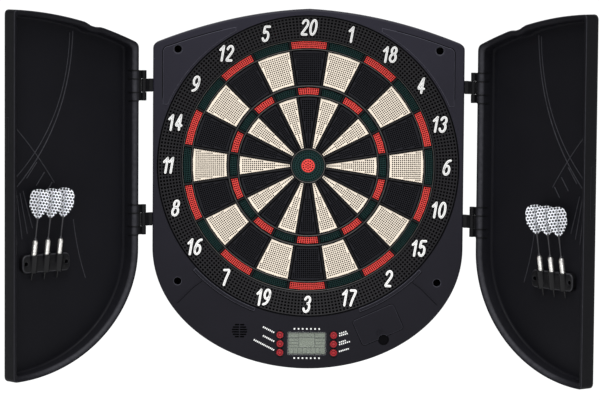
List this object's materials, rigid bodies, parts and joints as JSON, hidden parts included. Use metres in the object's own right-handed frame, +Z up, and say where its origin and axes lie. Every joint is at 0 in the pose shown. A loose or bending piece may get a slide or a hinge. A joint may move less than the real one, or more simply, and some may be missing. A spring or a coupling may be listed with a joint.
{
  "type": "dart board cabinet",
  "caption": "Electronic soft-tip dart board in an arched wall case with hinged doors that hold the darts, sprung target segments, display, push buttons and a battery cover.",
  "frame": {"origin": "on the flat back of the case, on the axis of the bull", "axes": "+X to the right as seen from the front, +Y into the wall, +Z up"},
  "size_m": [0.8998, 0.2491, 0.5697],
  "materials": {
    "case_plastic": "fine matte grain, charcoal",
    "ring_plastic": "matte black",
    "segment_cream": "matte ivory",
    "segment_black": "matte black",
    "segment_red": "satin red",
    "segment_green": "satin dark green",
    "numeral_white": "satin white",
    "rubber_foam": "closed-cell foam rubber",
    "membrane_film": "clear amber film with printed tracks",
    "circuit_laminate": "green solder mask",
    "lcd_glass": "grey-green display glass",
    "clear_lens": "clear polished plastic",
    "black_plastic": "satin black",
    "button_red": "satin red",
    "door_plastic": "satin black",
    "steel": "plain steel",
    "dart_tip": "matte black nylon",
    "barrel_metal": "turned, bright",
    "dart_shaft": "dark grey",
    "flight_film": "white film with dark dots"
  },
  "bodies": {
    "cabinet": {"front_frame": "case_plastic", "back_cover": "case_plastic", "catch_ring": "ring_plastic", "spider": "ring_plastic", "rubber_mat": "rubber_foam", "sensor_membrane": "membrane_film", "circuit_board": "circuit_laminate", "lcd_module": "lcd_glass", "lcd_window": "clear_lens", "speaker": "black_plastic", "battery_box": "black_plastic", "hinge_bracket_left_upper": "door_plastic", "hinge_bracket_left_lower": "door_plastic", "hinge_bracket_right_upper": "door_plastic", "hinge_bracket_right_lower": "door_plastic", "hinge_pin_left_upper": "steel", "hinge_pin_left_lower": "steel", "hinge_pin_right_upper": "steel", "hinge_pin_right_lower": "steel"},
    "inner_bull": {"inner_bull": "segment_red"},
    "outer_bull": {"outer_bull": "segment_green"},
    "inner_single_segments": {"inner_single_segments": "segment_cream"},
    "treble_segments": {"treble_segments": "segment_red"},
    "outer_single_segments": {"outer_single_segments": "segment_black"},
    "double_segments": {"double_segments": "segment_red"},
    "battery_cover": {"battery_cover": "case_plastic"},
    "button_left_top": {"button_left_top": "button_red"},
    "button_left_middle": {"button_left_middle": "button_red"},
    "button_left_bottom": {"button_left_bottom": "button_red"},
    "button_right_top": {"button_right_top": "button_red"},
    "button_right_middle": {"button_right_middle": "button_red"},
    "button_right_bottom": {"button_right_bottom": "button_red"},
    "left_door": {"left_door": "door_plastic", "left_dart_holder": "black_plastic"},
    "right_door": {"right_door": "door_plastic", "right_dart_holder": "black_plastic"},
    "dart_left_1": {"dart_left_1_tip": "dart_tip", "dart_left_1_barrel": "barrel_metal", "dart_left_1_shaft": "dart_shaft", "dart_left_1_flight": "flight_film"},
    "dart_left_2": {"dart_left_2_tip": "dart_tip", "dart_left_2_barrel": "barrel_metal", "dart_left_2_shaft": "dart_shaft", "dart_left_2_flight": "flight_film"},
    "dart_left_3": {"dart_left_3_tip": "dart_tip", "dart_left_3_barrel": "barrel_metal", "dart_left_3_shaft": "dart_shaft", "dart_left_3_flight": "flight_film"},
    "dart_right_1": {"dart_right_1_tip": "dart_tip", "dart_right_1_barrel": "barrel_metal", "dart_right_1_shaft": "dart_shaft", "dart_right_1_flight": "flight_film"},
    "dart_right_2": {"dart_right_2_tip": "dart_tip", "dart_right_2_barrel": "barrel_metal", "dart_right_2_shaft": "dart_shaft", "dart_right_2_flight": "flight_film"},
    "dart_right_3": {"dart_right_3_tip": "dart_tip", "dart_right_3_barrel": "barrel_metal", "dart_right_3_shaft": "dart_shaft", "dart_right_3_flight": "flight_film"}
  },
  "joints": [
    {"name": "left_door_hinge", "type": "hinge", "parent": "cabinet", "child": "left_door", "pos_m": [-0.258, -0.048, 0], "axis": [0, 0, -1], "range_deg": [-138, 42]},
    {"name": "right_door_hinge", "type": "hinge", "parent": "cabinet", "child": "right_door", "pos_m": [0.258, -0.048, 0], "axis": [0, 0, 1], "range_deg": [-129, 51]},
    {"name": "inner_bull_press", "type": "slide", "parent": "cabinet", "child": "inner_bull", "axis": [0, 1, 0], "range_m": [0, 0.0008], "stiffness_N_per_m": 2500},
    {"name": "outer_bull_press", "type": "slide", "parent": "cabinet", "child": "outer_bull", "axis": [0, 1, 0], "range_m": [0, 0.0008], "stiffness_N_per_m": 2500},
    {"name": "inner_single_segments_press", "type": "slide", "parent": "cabinet", "child": "inner_single_segments", "axis": [0, 1, 0], "range_m": [0, 0.0008], "stiffness_N_per_m": 2500},
    {"name": "treble_segments_press", "type": "slide", "parent": "cabinet", "child": "treble_segments", "axis": [0, 1, 0], "range_m": [0, 0.0008], "stiffness_N_per_m": 2500},
    {"name": "outer_single_segments_press", "type": "slide", "parent": "cabinet", "child": "outer_single_segments", "axis": [0, 1, 0], "range_m": [0, 0.0008], "stiffness_N_per_m": 2500},
    {"name": "double_segments_press", "type": "slide", "parent": "cabinet", "child": "double_segments", "axis": [0, 1, 0], "range_m": [0, 0.0008], "stiffness_N_per_m": 2500},
    {"name": "button_left_top_press", "type": "slide", "parent": "cabinet", "child": "button_left_top", "axis": [0, 1, 0], "range_m": [0, 0.0012], "stiffness_N_per_m": 400},
    {"name": "button_left_middle_press", "type": "slide", "parent": "cabinet", "child": "button_left_middle", "axis": [0, 1, 0], "range_m": [0, 0.0012], "stiffness_N_per_m": 400},
    {"name": "button_left_bottom_press", "type": "slide", "parent": "cabinet", "child": "button_left_bottom", "axis": [0, 1, 0], "range_m": [0, 0.0012], "stiffness_N_per_m": 400},
    {"name": "button_right_top_press", "type": "slide", "parent": "cabinet", "child": "button_right_top", "axis": [0, 1, 0], "range_m": [0, 0.0012], "stiffness_N_per_m": 400},
    {"name": "button_right_middle_press", "type": "slide", "parent": "cabinet", "child": "button_right_middle", "axis": [0, 1, 0], "range_m": [0, 0.0012], "stiffness_N_per_m": 400},
    {"name": "button_right_bottom_press", "type": "slide", "parent": "cabinet", "child": "button_right_bottom", "axis": [0, 1, 0], "range_m": [0, 0.0012], "stiffness_N_per_m": 400},
    {"name": "battery_cover_lift", "type": "slide", "parent": "cabinet", "child": "battery_cover", "axis": [0, -1, 0], "range_m": [0, 0.02]},
    {"name": "dart_left_1_pull", "type": "slide", "parent": "left_door", "child": "dart_left_1", "axis": [0.1047, -0.1163, 0.9877], "range_m": [0, 0.028]},
    {"name": "dart_left_2_pull", "type": "slide", "parent": "left_door", "child": "dart_left_2", "axis": [0.1047, -0.1163, 0.9877], "range_m": [0, 0.028]},
    {"name": "dart_left_3_pull", "type": "slide", "parent": "left_door", "child": "dart_left_3", "axis": [0.1047, -0.1163, 0.9877], "range_m": [0, 0.028]},
    {"name": "dart_right_1_pull", "type": "slide", "parent": "right_door", "child": "dart_right_1", "axis": [-0.1216, -0.0984, 0.9877], "range_m": [0, 0.028]},
    {"name": "dart_right_2_pull", "type": "slide", "parent": "right_door", "child": "dart_right_2", "axis": [-0.1216, -0.0984, 0.9877], "range_m": [0, 0.028]},
    {"name": "dart_right_3_pull", "type": "slide", "parent": "right_door", "child": "dart_right_3", "axis": [-0.1216, -0.0984, 0.9877], "range_m": [0, 0.028]}
  ]
}
